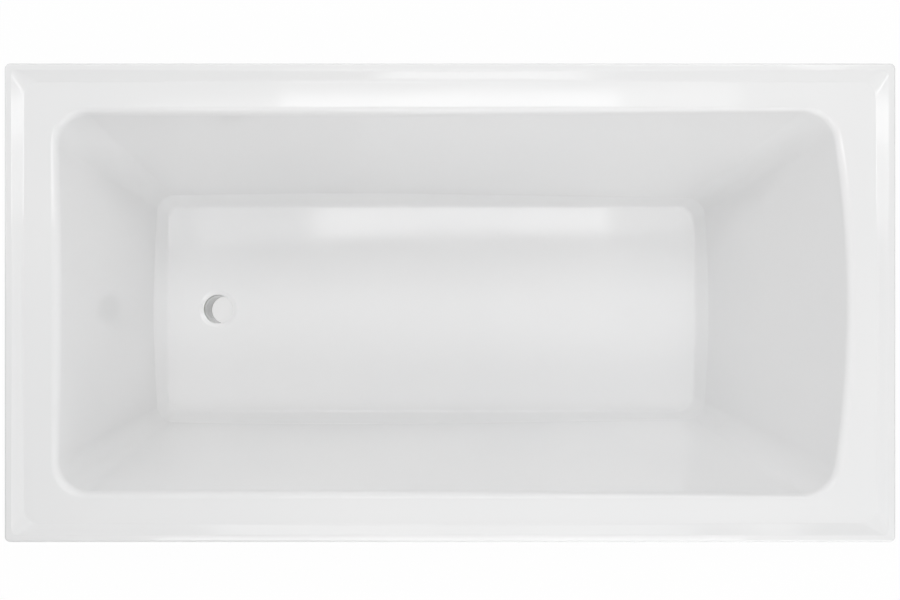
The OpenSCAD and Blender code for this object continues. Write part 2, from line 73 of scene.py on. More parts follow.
# Small measures of the shell, in metres
WASTE_EDGE = 0.0012             # radius of the eased edge of the waste hole
DISH_MARGIN = 0.002             # plain ring between the dish and the floor
HEM = 0.0008                    # eased lower edge of the skirt
SAME_POINT = 0.000002           # points nearer than this are merged

# Steps of the shell's bent walls: upper bend, straight part, each lower bend
WALL_STEPS = (12, 8, 6)
FLANK_STEPS = (7, 2, 9)
FLANK_STEPS_UNDER = (4, 2, 6)
WALL_STEPS_UNDER = (6, 8, 5)
COVE_STEPS = 3                  # steps across the flat of the cove
EDGE_STEPS = 8                  # steps of the rounded outer top edge
DISH_STEPS = 10                 # rings of the dish round the waste hole
WASTE_EDGE_TURNS = (22, 45, 68, 86)             # degrees
FLOOR_SHARES = (0.12, 0.35, 0.65, 0.9)          # rings of the floor, from the dish to the cove
FLOOR_SHARES_UNDER = (0.65, 0.3, 0.0)

# Small measures of the fittings, in metres
BATTEN_CORNER = 0.0052          # cut corner of the long battens, inside the shell's rounded corner
ON_FACE = 0.0001                # a point this near to a plane lies on it
ON_SIDE = 0.001                 # the same for the large flat sides of a batten
STUD_CHAMFER = 0.0006           # at both ends of a stud
RIDGE_SINK = 0.0003             # how far the foot of the thread's ridge stands inside the core
RIDGE_CLEAR = 0.00002           # how far its crest stays inside the stud's box
RIDGE_FOOT, RIDGE_CREST = 0.46, 0.07            # half widths of the ridge, as shares of the pitch
RIDGE_STEPS = 28                # steps of the ridge in one turn
HEAD_BEVEL = 0.0013             # rounding of a wood screw's head
POINT_SHARE = 0.25              # width of a screw's point against its shank
RECESS = (0.0052, 0.0011, 0.0028)               # length, width and depth of one slot of the cross
RECESS_TAPER = 0.45             # width of the slot's foot against its mouth
RECESS_PLACE = 0.0004           # height of the slot's middle above the head's face
# Faces that meet at less than this angle are shaded as one
TIMBER_SMOOTH, METAL_SMOOTH = math.radians(40), math.radians(35)

# The studio, in metres
FLOOR_SIDE = 14.0               # side of the square floor
FLOOR_FADE = 0.10               # width of the change from the floor's painted shade under the bath to the backdrop
VIEW_REACH = 50.0               # how far the camera sees
SENSOR = 36.0                   # width of the camera's film, in millimetres


def length(name, description, default):
    """A length in metres, for the sidebar."""
    return FloatProperty(name=name, description=description, default=default, min=0.0, precision=4,
                         unit="LENGTH", subtype="DISTANCE")


def colour(name, description, default):
    """A linear colour, for the sidebar."""
    return FloatVectorProperty(name=name, description=description, default=default, size=3, min=0.0, max=1.0,
                               subtype="COLOR")


def share(name, description, default, most=1.0):
    """A plain number from nothing upwards, for the sidebar."""
    return FloatProperty(name=name, description=description, default=default, min=0.0, max=most)


def count(name, description, default):
    """A number of steps, for the sidebar."""
    return IntProperty(name=name, description=description, default=default, min=4)


class BathForm(PropertyGroup):
    """Sizes of the formed shell, the same as in the part's source."""

    rim_corner: length("Rim corner", "Corner radius of the rim in plan", 0.010)
    lip_height: length("Lip height", "Height of the lip above the deck", 0.008)
    lip_top: length("Lip width", "Width from the lip's outer face to the top of its flank", 0.012)
    flank_width: length("Flank width", "Width of the lip's inner flank in plan", 0.020)
    flank_top: length("Flank top", "Bend radius from the lip's top into the flank", 0.008)
    flank_foot: length("Flank foot", "Bend radius from the flank into the deck", 0.014)
    edge_round: length("Outer edge", "Radius of the rounded outer top edge", 0.005)
    lip_corner: length("Lip corner", "Corner radius at the top of the flank", 0.010)
    deck_corner: length("Deck corner", "Corner radius at the foot of the flank", 0.028)
    sheet: length("Sheet", "Thickness of the sheet in the lip and the skirt", 0.0035)
    skirt: length("Skirt", "Height of the skirt that hangs from the lip", 0.034)
    deck_side: length("Side deck", "Flat deck along the front and the back", 0.0405)
    deck_drain: length("Drain deck", "Flat deck at the drain end", 0.0445)
    deck_head: length("Head deck", "Flat deck at the middle of the head end", 0.033)
    floor_height: length("Floor height", "Height of the floor above the ground at the waste", 0.093)
    floor_rise: length("Floor rise", "Rise of the floor from the waste to the head end", 0.009)
    side_run: length("Side run", "Plan distance from the rolled edge to the floor at the sides", 0.1275)
    drain_run: length("Drain run", "Plan distance from the rolled edge to the floor at the drain end", 0.102)
    head_run: length("Head run", "Plan distance from the rolled edge to the floor at the head end", 0.1925)
    head_bow: length("Head bow", "Radius of the bow of the rolled edge at the head end", 1.750)
    floor_bow: length("Floor bow", "Radius of the bow of the floor's head end", 5.0)
    well_corner: length("Well corner", "Corner radius of the rolled edge in plan", 0.060)
    floor_drain_corner: length("Drain floor corner", "Corner radius of the floor at the drain end", 0.025)
    floor_head_corner: length("Head floor corner", "Corner radius of the floor at the head end", 0.035)
    roll: length("Roll", "Radius of the roll from the deck into the walls", 0.016)
    cove: length("Cove", "Width of the flat cove between the walls and the floor", 0.026)
    cove_slope: FloatProperty(name="Cove slope", description="Slope of the cove", default=math.radians(45.0),
                              unit="ROTATION", subtype="ANGLE")
    cove_bend: length("Cove bends", "Bend radius at the top and the foot of the cove", 0.010)
    shell: length("Shell", "Thickness of the sheet with its backing", 0.008)
    waste_in: length("Waste place", "Distance from the floor's drain edge to the waste", 0.100)
    waste: length("Waste hole", "Radius of the waste hole", 0.030)
    dish: length("Dish", "Radius of the shallow dish around the waste hole", 0.039)
    dish_depth: length("Dish depth", "Depth of the dish at the waste hole", 0.002)
    corner_steps: count("Corner steps", "Steps round each plan corner", 20)
    side_steps: count("Side steps", "Steps along each long side", 24)
    head_steps: count("Head steps", "Steps along the bowed head end", 24)
    end_steps: count("End steps", "Steps along the drain end", 12)


class BathFinish(PropertyGroup):
    """Colours and gloss of the bathtub's materials."""

    acrylic: colour("Acrylic", "White of the formed sheet", (0.89, 0.89, 0.89))
    acrylic_shade: colour("Acrylic shade", "Deeper white that the sheet drifts to", (0.87, 0.872, 0.875))
    acrylic_rough: share("Acrylic roughness", "Roughness of the polished sheet", 0.07)
    laminate: colour("Laminate", "Resin of the backing", (0.50, 0.50, 0.42))
    strand: colour("Glass strands", "Chopped strands in the backing", (0.66, 0.67, 0.60))
    board: colour("Board", "Chips of the base board", (0.42, 0.29, 0.16))
    board_dark: colour("Dark chips", "Darker chips of the base board", (0.24, 0.15, 0.08))
    pine: colour("Pine", "Early wood of the battens", (0.62, 0.43, 0.24))
    pine_dark: colour("Pine rings", "Late wood of the battens", (0.42, 0.25, 0.11))
    galvanised: colour("Galvanised steel", "Hot-dip zinc on the rails and the brackets", (0.60, 0.62, 0.64))
    zinc: colour("Zinc plate", "Plating of the studs, nuts, washers and screws", (0.66, 0.68, 0.70))
    foot: colour("Foot", "Moulded plastic of the feet", (0.022, 0.022, 0.024))
    outlet: colour("Outlet", "Moulded plastic of the outlet", (0.90, 0.91, 0.91))
    rubber: colour("Rubber", "Rubber of the gasket", (0.018, 0.018, 0.018))


class BathFittings(PropertyGroup):
    """Sizes of the fittings under the bath."""

    thread_pitch: length("Thread pitch", "Pitch of the studs' thread", 0.00175)
    thread_depth: length("Thread depth", "Depth of the studs' thread", 0.00095)
    spigot: length("Spigot", "Radius of the plain spigot below the thread", 0.00495)
    spigot_length: length("Spigot length", "Length of that spigot", 0.014)
    screw_inner: length("Inner screws", "Distance of the inner rail screws from the middle", 0.060)
    screw_shank: length("Screw shank", "Radius of the wood screws' shanks", 0.0022)
    screw_head: length("Screw head", "Height of the wood screws' heads", 0.003)
    arris: length("Arris", "Width of the eased edges of the battens", 0.0015)
    flange_screw_ring: length("Flange screws", "Radius of the circle of the outlet's screws", 0.051)


class BathStage(PropertyGroup):
    """Camera, lamps and backdrop."""

    camera_height: length("Camera height", "Height of the camera above the floor", 2.315)
    camera_y: length("Camera offset", "Distance of the camera in front of the middle", 0.060)
    lens: FloatProperty(name="Lens", description="Focal length in millimetres", default=42.6, min=1.0)
    shift: FloatProperty(name="Shift", description="Vertical shift of the frame", default=0.042,
                         min=-1.0, max=1.0)
    sky: share("Sky", "Strength of the even sky that lights the matt surfaces", 0.3, 10.0)
    backdrop: share("Backdrop", "How much of the floor's white is its own", 0.98)
    # A lower share of the floor's own white under the bath: painted shade under the bath, over the real
    # shadow that shows through the rest
    painted_shade_backdrop: share("Under the bath", "The same share under the bath", 0.66)
    floor: colour("Floor", "Pale floor of the studio", (0.90, 0.90, 0.90))


def deselect_all():
    if bpy.context.mode != "OBJECT":
        bpy.ops.object.mode_set(mode="OBJECT")
    bpy.ops.object.select_all(action="DESELECT")


def only(piece):
    """Selects one piece and makes it active."""
    deselect_all()
    piece.select_set(True)
    bpy.context.view_layer.objects.active = piece


def active(name):
    """The piece that an operator has just added, named and alone selected."""
    piece = bpy.context.view_layer.objects.active
    piece.name = name
    piece.data.name = name
    only(piece)
    return piece


def settle(piece):
    """Puts a piece's place into its mesh."""
    only(piece)
    bpy.ops.object.transform_apply(location=True, rotation=True, scale=True)


def edit(piece, select_mode="FACE"):
    only(piece)
    bpy.ops.object.mode_set(mode="EDIT")
    bpy.ops.mesh.select_mode(type=select_mode)
    bpy.ops.mesh.select_all(action="DESELECT")


def leave_edit():
    bpy.ops.object.mode_set(mode="OBJECT")


def pick(piece, kind, test):
    """In edit mode, selects the faces, edges or verts of a piece that pass a test."""
    mesh = bmesh.from_edit_mesh(piece.data)
    for item in getattr(mesh, kind):
        item.select_set(bool(test(item)))
    mesh.select_flush_mode()
    bmesh.update_edit_mesh(piece.data)


def apply_modifier(piece, kind, **settings):
    only(piece)
    modifier = piece.modifiers.new(kind.title(), kind)
    for key, value in settings.items():
        setattr(modifier, key, value)
    bpy.ops.object.modifier_apply(modifier=modifier.name)


def join(pieces, name):
    deselect_all()
    for piece in pieces:
        piece.select_set(True)
    bpy.context.view_layer.objects.active = pieces[0]
    if len(pieces) > 1:
        bpy.ops.object.join()
    return active(name)


def copy_at(piece, offset, name):
    """A copy of a piece with its own mesh, moved by an offset."""
    only(piece)
    bpy.ops.object.duplicate(linked=False)
    bpy.ops.transform.translate(value=offset)
    bpy.ops.object.transform_apply(location=True, rotation=False, scale=False)
    return active(name)


def finish_with(piece, *finishes):
    piece.data.materials.clear()
    for finish in finishes:
        piece.data.materials.append(finish)


def stand_for(piece, body, slot, *nodes):
    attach(piece, body)
    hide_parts(*nodes)


class Finish:
    """Small builder for a node material around one Principled shader."""

    def __init__(self, name, **constants):
        self.material = bpy.data.materials.new(name)
        self.material.use_nodes = True
        self.tree = self.material.node_tree
        self.tree.nodes.clear()
        self.output = self.tree.nodes.new("ShaderNodeOutputMaterial")
        self.shader = self.tree.nodes.new("ShaderNodeBsdfPrincipled")
        self.tree.links.new(self.shader.outputs["BSDF"], self.output.inputs["Surface"])
        for key, value in constants.items():
            self.shader.inputs[key.replace("_", " ")].default_value = value
        self.coordinates = self.tree.nodes.new("ShaderNodeTexCoord").outputs["Object"]

    def node(self, kind, inputs=None, **settings):
        made = self.tree.nodes.new("ShaderNode" + kind)
        for key, value in settings.items():
            setattr(made, key, value)
        for key, value in (inputs or {}).items():
            if isinstance(value, bpy.types.NodeSocket):
                self.tree.links.new(value, made.inputs[key])
            else:
                made.inputs[key].default_value = value
        return made

    def stretched(self, scale, turn=(0.0, 0.0, 0.0)):
        """Object coordinates, turned and scaled."""
        inputs = {"Vector": self.coordinates, "Scale": scale, "Rotation": turn}
        return self.node("Mapping", inputs).outputs["Vector"]

    def noise(self, scale, detail=3.0, roughness=0.5, vector=None, distortion=0.0):
        inputs = {"Vector": vector or self.coordinates, "Scale": scale, "Detail": detail,
                  "Roughness": roughness, "Distortion": distortion}
        return self.node("TexNoise", inputs).outputs["Fac"]

    def cells(self, scale, output="Color", vector=None):
        inputs = {"Vector": vector or self.coordinates, "Scale": scale}
        return self.node("TexVoronoi", inputs).outputs[output]

    def span(self, value, low, high, to_low=0.0, to_high=1.0):
        """Maps a value from one range to another, clamped."""
        inputs = {"Value": value, "From Min": low, "From Max": high, "To Min": to_low, "To Max": to_high}
        return self.node("MapRange", inputs).outputs["Result"]

    def blend(self, factor, first, second):
        """Mixes two colours; each of the three is a socket or a plain value."""
        made = self.node("Mix", data_type="RGBA")
        for socket, value in ((made.inputs[0], factor), (made.inputs[6], first), (made.inputs[7], second)):
            if isinstance(value, bpy.types.NodeSocket):
                self.tree.links.new(value, socket)
            else:
                socket.default_value = value if isinstance(value, float) else (*value, 1.0)[:4]
        return made.outputs[2]

    def math(self, operation, first, second=0.0):
        made = self.node("Math", operation=operation)
        for socket, value in zip(made.inputs, (first, second)):
            if isinstance(value, bpy.types.NodeSocket):
                self.tree.links.new(value, socket)
            else:
                socket.default_value = value
        return made.outputs[0]

    def colour(self, socket):
        self.tree.links.new(socket, self.shader.inputs["Base Color"])

    def rough(self, socket):
        self.tree.links.new(socket, self.shader.inputs["Roughness"])

    def bump(self, height, distance, under=None):
        """Bumps of a height in metres, laid over others if under is given."""
        inputs = {"Height": height, "Distance": distance, "Strength": 1.0}
        if under is not None:
            inputs["Normal"] = under
        made = self.node("Bump", inputs).outputs["Normal"]
        self.tree.links.new(made, self.shader.inputs["Normal"])
        return made


FINISHES = {}


def finish(name):
    """The finish of that name, made the first time it is asked for."""
    if name not in FINISHES:
        FINISHES[name] = MAKERS[name](bpy.context.scene.bath_finish)
    return FINISHES[name]


def make_acrylic(tones):
    """Glossy white sheet with a faint drift of tone and the slow waves of a formed surface."""
    made = Finish("acrylic_sheet", IOR=1.49)
    drift = made.span(made.noise(2.2, detail=2.0), 0.35, 0.65)
    made.colour(made.blend(drift, tuple(tones.acrylic), tuple(tones.acrylic_shade)))
    haze = made.noise(9.0, detail=4.0)
    made.rough(made.span(haze, 0.3, 0.7, tones.acrylic_rough * 0.8, tones.acrylic_rough * 1.25))
    waves = made.bump(made.noise(4.0, detail=1.5), 0.0005)
    made.bump(made.noise(420.0, detail=2.0), 0.000004, under=waves)
    return made.material


def make_laminate(tones):
    """Sprayed resin with chopped glass strands."""
    made = Finish("backing_laminate", IOR=1.54)
    strands = made.cells(95.0, "Distance", made.stretched((1.0, 3.4, 2.0), (0.5, 0.3, 0.7)))
    crossing = made.cells(80.0, "Distance", made.stretched((3.2, 1.0, 2.4), (0.2, 0.8, 0.1)))
    woven = made.math("MULTIPLY", strands, crossing)
    lit = made.span(woven, 0.02, 0.32)
    base = made.blend(lit, tuple(tones.strand), tuple(tones.laminate))
    pools = made.span(made.noise(6.0, detail=4.0), 0.35, 0.7)
    made.colour(made.blend(pools, base, tuple(0.8 * c for c in tones.laminate)))
    made.rough(made.span(made.noise(38.0, detail=3.0), 0.3, 0.7, 0.32, 0.6))
    lumps = made.bump(made.noise(26.0, detail=5.0, roughness=0.6), 0.0016)
    made.bump(woven, 0.0006, under=lumps)
    return made.material


def make_board(tones):
    """Chipboard: flat chips of several browns, pressed together."""
    made = Finish("chip_board", IOR=1.45)
    chips = made.cells(150.0, "Color", made.stretched((1.0, 1.6, 2.6)))
    chip = made.node("SeparateColor", {"Color": chips}).outputs["Red"]
    small = made.node("SeparateColor", {"Color": made.cells(420.0)}).outputs["Green"]
    tone = made.math("ADD", made.math("MULTIPLY", chip, 0.65), made.math("MULTIPLY", small, 0.35))
    made.colour(made.blend(made.span(tone, 0.15, 0.95), tuple(tones.board_dark), tuple(tones.board)))
    made.rough(made.span(small, 0.0, 1.0, 0.68, 0.88))
    made.bump(tone, 0.0004)
    return made.material


def make_pine(tones, along):
    """Planed softwood, its grain along the batten."""
    made = Finish("pine_" + along.lower(), IOR=1.45)
    squeeze = (0.9, 14.0, 14.0) if along == "X" else (14.0, 0.9, 14.0)
    lines = made.stretched(squeeze)
    rings = made.noise(4.2, detail=3.0, roughness=0.45, vector=lines, distortion=0.4)
    bands = made.math("FRACT", made.math("MULTIPLY", rings, 9.0))
    late = made.span(made.math("POWER", bands, 2.6), 0.05, 0.95)
    fibre = made.noise(42.0, detail=4.0, roughness=0.6, vector=lines)
    base = made.blend(late, tuple(tones.pine), tuple(tones.pine_dark))
    streaks = made.span(fibre, 0.35, 0.75, 0.0, 0.35)
    made.colour(made.blend(streaks, base, tuple(0.62 * c for c in tones.pine)))
    made.rough(made.span(fibre, 0.2, 0.8, 0.5, 0.72))
    made.bump(made.math("ADD", fibre, made.math("MULTIPLY", late, 0.5)), 0.00025)
    return made.material


def make_pine_x(tones):
    return make_pine(tones, "X")


def make_pine_y(tones):
    return make_pine(tones, "Y")


def make_galvanised(tones):
    """Hot-dip zinc with its spangle."""
    made = Finish("galvanised_steel", Metallic=1.0)
    spangle = made.node("SeparateColor", {"Color": made.cells(85.0)}).outputs["Red"]
    cloud = made.noise(14.0, detail=4.0, roughness=0.6)
    tone = made.math("ADD", made.math("MULTIPLY", spangle, 0.6), made.math("MULTIPLY", cloud, 0.4))
    light, dark = tuple(tones.galvanised), tuple(0.72 * c for c in tones.galvanised)
    made.colour(made.blend(made.span(tone, 0.15, 0.85), dark, light))
    made.rough(made.span(spangle, 0.0, 1.0, 0.34, 0.56))
    made.bump(made.math("ADD", made.cells(85.0, "Distance"), made.noise(260.0, detail=2.0)), 0.00006)
    return made.material


def make_zinc(tones):
    """Bright zinc plate with fine scratches and a faint blue cast in places."""
    made = Finish("zinc_plate", Metallic=1.0)
    cast = made.span(made.noise(60.0, detail=3.0), 0.35, 0.7)
    blue = (0.58 * tones.zinc[0] / 0.66, 0.63 * tones.zinc[1] / 0.68, tones.zinc[2])
    made.colour(made.blend(cast, tuple(tones.zinc), blue))
    scratch = made.noise(900.0, detail=3.0, roughness=0.6, vector=made.stretched((1.0, 1.0, 0.15)))
    made.rough(made.span(scratch, 0.25, 0.75, 0.22, 0.42))
    made.bump(scratch, 0.00002)
    return made.material


def make_foot(tones):
    """Black moulded plastic with a fine grain and paler scuffs."""
    made = Finish("foot_plastic", IOR=1.5)
    scuffs = made.span(made.noise(70.0, detail=5.0, roughness=0.65), 0.55, 0.8)
    made.colour(made.blend(scuffs, tuple(tones.foot), tuple(min(1.0, 2.6 * c) for c in tones.foot)))
    made.rough(made.span(made.noise(160.0, detail=3.0), 0.3, 0.7, 0.38, 0.56))
    made.bump(made.noise(1400.0, detail=2.0), 0.00005)
    return made.material


def make_outlet(tones):
    """White moulded plastic, a little mottled."""
    made = Finish("outlet_plastic", IOR=1.5)
    mottle = made.span(made.noise(45.0, detail=4.0), 0.35, 0.7)
    made.colour(made.blend(mottle, tuple(tones.outlet), tuple(0.86 * c for c in tones.outlet)))
    made.rough(made.span(made.noise(120.0, detail=3.0), 0.3, 0.7, 0.14, 0.22))
    made.bump(made.noise(700.0, detail=2.0), 0.00002)
    return made.material


def make_rubber(tones):
    """Matt black rubber with a chalky bloom."""
    made = Finish("gasket_rubber", IOR=1.5)
    bloom = made.span(made.noise(90.0, detail=4.0), 0.45, 0.8)
    made.colour(made.blend(bloom, tuple(tones.rubber), tuple(3.0 * c for c in tones.rubber)))
    made.rough(made.span(bloom, 0.0, 1.0, 0.62, 0.85))
    made.bump(made.noise(900.0, detail=2.0), 0.00005)
    return made.material


MAKERS = {"acrylic": make_acrylic, "laminate": make_laminate, "board": make_board, "pine_x": make_pine_x,
          "pine_y": make_pine_y, "galvanised": make_galvanised, "zinc": make_zinc, "foot": make_foot,
          "outlet": make_outlet, "rubber": make_rubber}


def arc(cx, cy, radius, start, end, steps):
    turns = [start + (end - start) * i / steps for i in range(steps + 1)]
    return [Vector((cx + radius * math.cos(a), cy + radius * math.sin(a))) for a in turns]


def between(first, last, steps):
    """Points on a straight line, its two ends left out."""
    return [first.lerp(last, i / steps) for i in range(1, steps)]


def tub_plan(form, x0, x1, y, drain_corner, head_corner, bow=0.0):
    """Anticlockwise outline of a tub in plan, its end at x1 bowed if bow is given."""
    turn, cx, end_y = 0.0, x1 - head_corner, y - head_corner
    if bow:
        turn = math.asin((y - head_corner) / (bow - head_corner))
        cx = x1 - bow + (bow - head_corner) * math.cos(turn)
        end_y = bow * math.sin(turn)
    half, steps = math.pi / 2, form.corner_steps
    front_drain = arc(x0 + drain_corner, drain_corner - y, drain_corner, 2 * half, 3 * half, steps)
    front_head = arc(cx, head_corner - y, head_corner, 3 * half, 4 * half - turn, steps)
    across = [end_y * (2 * i / form.head_steps - 1) for i in range(1, form.head_steps)]
    head = [Vector((x1 - (bow - math.sqrt(bow * bow - v * v) if bow else 0.0), v)) for v in across]
    back_head = arc(cx, y - head_corner, head_corner, turn, half, steps)
    back_drain = arc(x0 + drain_corner, y - drain_corner, drain_corner, half, 2 * half, steps)
    return [*front_drain, *between(front_drain[-1], front_head[0], form.side_steps), *front_head, *head,
            *back_head, *between(back_head[-1], back_drain[0], form.side_steps), *back_drain,
            *between(back_drain[-1], front_drain[0], form.end_steps)]


def level(plan, height):
    return [Vector((p.x, p.y, height)) for p in plan]


def turned(radius, angle):
    """How far a bend has gone out and down after an angle."""
    return Vector((radius * math.sin(angle), radius * (1 - math.cos(angle))))


def wall_profile(run, drop, upper, lower, steps, flat):
    """Section of a wall, as points out and down from its top.
    It turns down over the radius upper and levels out over the radius lower.
    flat is the reach of a cove between two lower bends, or a vector of nothing."""
    foot, bends = Vector((run, drop)), upper + lower
    above = foot - flat
    steep = math.atan2(above.y - bends, above.x) + math.asin(bends / math.hypot(above.x, above.y - bends))
    last = math.atan2(flat.y, flat.x) if flat.length else steep
    profile = [turned(upper, steep * i / steps[0]) for i in range(steps[0] + 1)]
    profile += between(profile[-1], above - turned(lower, steep), steps[1])
    if flat.length:
        turns = [steep + (last - steep) * i / steps[2] for i in range(steps[2] + 1)]
        profile += [above - turned(lower, turn) for turn in turns]
        profile += between(profile[-1], foot - turned(lower, last), COVE_STEPS)
    return profile + [foot - turned(lower, last * (1 - i / steps[2])) for i in range(steps[2] + 1)]


def bent_wall(top, foot, z_top, z_foot, upper, lower, steps, flat=Vector((0.0, 0.0))):
    """Rings of a wall from the outline top at one height down to the outline foot at its heights.
    steps are those of the upper bend, of the straight part and of each lower bend."""
    places = []
    for p, q, zq in zip(top, foot, z_foot):
        way = (q - p).normalized()
        profile = wall_profile((q - p).length, z_top - zq, upper, lower, steps, flat)
        places.append([Vector((p.x + way.x * out, p.y + way.y * out, z_top - down))
                       for out, down in profile])
    return [list(ring) for ring in zip(*places)]


def shell_rings(form):
    """The rings of the shell, from the waste hole's lower edge up and out to the skirt, and back in
    underneath. Returns them with the number of the first ring of the underside."""
    x0 = SHELL_LOW.x
    x1, y1, top = SHELL_HIGH
    lip = form.lip_top + form.flank_width
    deck = top - form.lip_height
    edge = tub_plan(form, x0 + lip + form.deck_drain, x1 - lip - form.deck_head, y1 - lip - form.deck_side,
                    form.well_corner, form.well_corner, form.head_bow)
    floor_x0 = x0 + lip + form.deck_drain + form.drain_run
    floor_x1 = x1 - lip - form.deck_head - form.head_run
    floor = tub_plan(form, floor_x0, floor_x1, y1 - lip - form.deck_side - form.side_run,
                     form.floor_drain_corner, form.floor_head_corner, form.floor_bow)
    waste = Vector((floor_x0 + form.waste_in, 0.0, form.floor_height))
    rise = form.floor_rise / (floor_x1 - waste.x)
    fall = math.atan(rise)
    along = Vector((math.cos(fall), 0.0, math.sin(fall)))
    up = Vector((-math.sin(fall), 0.0, math.cos(fall)))
    bearings = [math.atan2(p.y, p.x - waste.x) for p in floor]

    def floor_levels(drop):
        return [waste.z + rise * (p.x - waste.x) - drop for p in floor]

    def round_waste(radius, depth):
        return [waste + along * (radius * math.cos(a)) + Vector((0.0, radius * math.sin(a), 0.0))
                - up * depth for a in bearings]

    def rim(inset, corner):
        return tub_plan(form, x0 + inset, x1 - inset, y1 - inset, corner, corner)

    def across_floor(drop, shares):
        inner = round_waste(form.dish + DISH_MARGIN, drop)
        outer = [Vector((p.x, p.y, z)) for p, z in zip(floor, floor_levels(drop))]
        return [[a.lerp(b, t) for a, b in zip(inner, outer)] for t in shares]

    hole = [(form.waste, form.shell), (form.waste, form.dish_depth + WASTE_EDGE)]
    hole += [(form.waste + WASTE_EDGE * (1 - math.cos(a)), form.dish_depth + WASTE_EDGE * (1 - math.sin(a)))
             for a in (math.radians(d) for d in WASTE_EDGE_TURNS)]
    reach = form.dish + DISH_MARGIN - form.waste - WASTE_EDGE
    for i in range(1, DISH_STEPS + 1):
        t = i / DISH_STEPS
        depth = form.dish_depth * (0.5 + 0.5 * math.cos(math.pi * t))
        hole.append((form.waste + WASTE_EDGE + reach * t, depth))
    rings = [round_waste(*place) for place in hole]
    rings += across_floor(0.0, FLOOR_SHARES)
    cove = Vector((math.cos(form.cove_slope), math.sin(form.cove_slope))) * form.cove
    walls = bent_wall(edge, floor, deck, floor_levels(0.0), form.roll, form.cove_bend, WALL_STEPS, cove)
    rings += reversed(walls)
    flank_top, flank_foot = rim(form.lip_top, form.lip_corner), rim(lip, form.deck_corner)
    flank = bent_wall(flank_top, flank_foot, top, [deck] * len(edge), form.flank_top, form.flank_foot,
                      FLANK_STEPS)
    rings += reversed(flank)
    for i in range(EDGE_STEPS, -1, -1):
        a = math.pi / 2 * i / EDGE_STEPS
        inset = form.edge_round * (1 - math.cos(a))
        rings.append(level(rim(inset, form.rim_corner - inset), top - form.edge_round * (1 - math.sin(a))))
    skirt = top - form.skirt
    rings.append(level(rim(0.0, form.rim_corner), skirt + HEM))
    rings.append(level(rim(HEM, form.rim_corner - HEM), skirt))
    underside = len(rings)
    inner = form.rim_corner - form.sheet
    rings.append(level(rim(form.sheet - HEM, inner + HEM), skirt))
    rings.append(level(rim(form.sheet, inner), skirt + HEM))
    rings.append(level(rim(form.sheet, inner), top - form.sheet))
    under_foot = rim(lip + form.shell - form.sheet, form.deck_corner)
    rings += bent_wall(flank_top, under_foot, top - form.sheet, [deck - form.shell] * len(edge),
                       form.flank_top - form.sheet, form.flank_foot + form.sheet, FLANK_STEPS_UNDER)
    rings += bent_wall(edge, floor, deck - form.shell, floor_levels(form.shell), form.roll - form.shell,
                       form.cove_bend + form.shell, WALL_STEPS_UNDER, cove)
    rings += across_floor(form.shell, FLOOR_SHARES_UNDER)
    rings.append(round_waste(form.waste, form.shell))
    return rings, underside


def lay_ring(piece, ring, row):
    """Puts the selected points of a ring in their places and notes the row they are in."""
    mesh = bmesh.from_edit_mesh(piece.data)
    place, rows = mesh.verts.layers.int["place"], mesh.verts.layers.int["row"]
    for vert in mesh.verts:
        if vert.select:
            vert.co = ring[vert[place]]
            vert[rows] = row
    bmesh.update_edit_mesh(piece.data)


class BATHTUB_OT_shell(Operator):
    """Grow the formed shell ring by ring, from the waste hole over the rim and back underneath"""

    bl_idname = "bathtub.shell"
    bl_label = "Formed Shell"

    def execute(self, context):
        form = context.scene.bath_form
        rings, underside = shell_rings(form)
        deselect_all()
        bpy.ops.mesh.primitive_circle_add(vertices=len(rings[0]), radius=form.waste, fill_type="NOTHING")
        shell = active("formed_shell")
        edit(shell, "VERT")
        mesh = bmesh.from_edit_mesh(shell.data)
        for name in ("place", "row"):
            mesh.verts.layers.int.new(name)
        mesh.verts.ensure_lookup_table()
        place = mesh.verts.layers.int["place"]
        for i, vert in enumerate(mesh.verts):
            vert[place] = i
            vert.select = True
        mesh.select_flush_mode()
        bmesh.update_edit_mesh(shell.data)
        bpy.ops.mesh.select_mode(type="EDGE")
        bpy.ops.mesh.select_all(action="SELECT")
        lay_ring(shell, rings[0], 0)
        for row, ring in enumerate(rings[1:], 1):
            bpy.ops.mesh.extrude_edges_indiv()
            lay_ring(shell, ring, row)
        bpy.ops.mesh.select_all(action="SELECT")
        bpy.ops.mesh.remove_doubles(threshold=SAME_POINT)
        bpy.ops.mesh.normals_make_consistent(inside=False)
        leave_edit()
        rows = [item.value for item in shell.data.attributes["row"].data]
        finish_with(shell, finish("acrylic"), finish("laminate"))
        for face in shell.data.polygons:
            found = [rows[v] for v in face.vertices]
            backed = min(found) >= underside or (0 in found and max(found) > underside)
            face.material_index = 1 if backed else 0
        for name in ("place", "row"):
            shell.data.attributes.remove(shell.data.attributes[name])
        only(shell)
        bpy.ops.object.shade_smooth()
        apply_modifier(shell, "WEIGHTED_NORMAL", weight=80, keep_sharp=True)
        stand_for(shell, "tub", "acrylic", "bath_shell")
        return {"FINISHED"}


